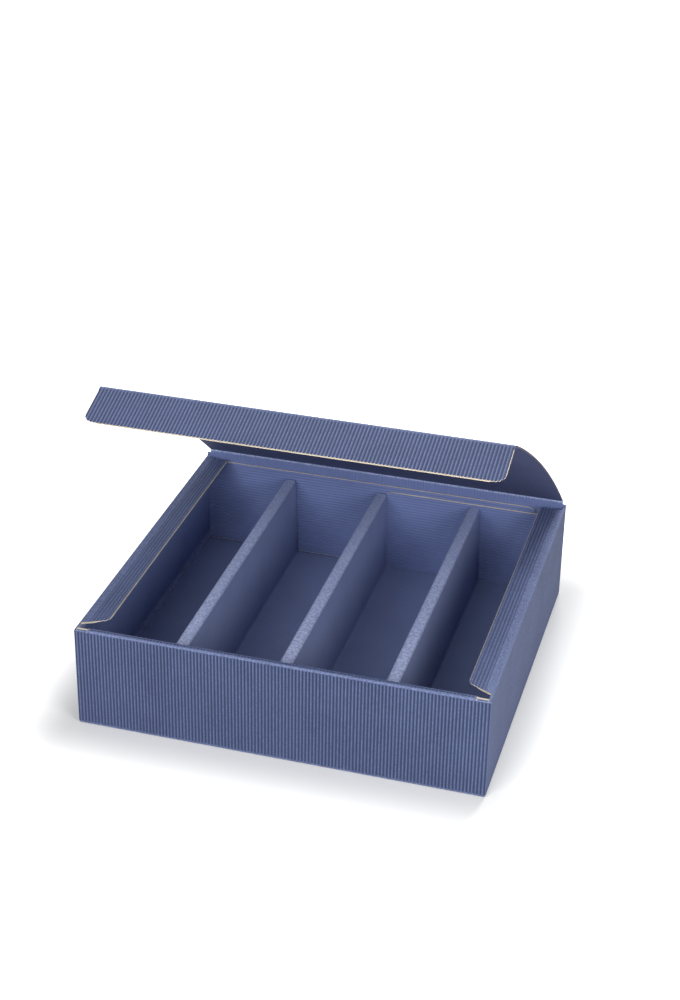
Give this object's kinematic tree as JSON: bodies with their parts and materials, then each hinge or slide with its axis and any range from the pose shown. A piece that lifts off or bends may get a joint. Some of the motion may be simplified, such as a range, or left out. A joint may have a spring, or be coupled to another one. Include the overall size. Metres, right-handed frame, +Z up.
{
  "type": "bottle shipping box",
  "caption": "Flat ribbed cardboard shipping box with a hinged lid, a tuck flap on its front edge and a folded insert whose upright ridges part bottles lying side by side.",
  "frame": {"origin": "middle of the base, on the surface that the box stands on", "axes": "+X to the right, +Y from the front wall to the lid's crease at the back, +Z up"},
  "size_m": [0.37, 0.35, 0.3007],
  "materials": {
    "ribbed_board": "matte navy blue open-flute board with pale cut edges",
    "insert_board": "matte navy blue board"
  },
  "bodies": {
    "tray_body": {"tray": "ribbed_board", "divider_insert": "insert_board"},
    "lid_body": {"lid": "ribbed_board"},
    "flap_body": {"tuck_flap": "ribbed_board"}
  },
  "joints": [
    {"name": "lid_hinge", "type": "hinge", "parent": "tray_body", "child": "lid_body", "pos_m": [0, 0.175, 0.105], "axis": [-1, 0, 0], "range_deg": [-33, 140]},
    {"name": "tuck_flap_hinge", "type": "hinge", "parent": "lid_body", "child": "flap_body", "pos_m": [0, -0.10522, 0.29903], "axis": [1, 0, 0], "range_deg": [-46, 43]}
  ]
}
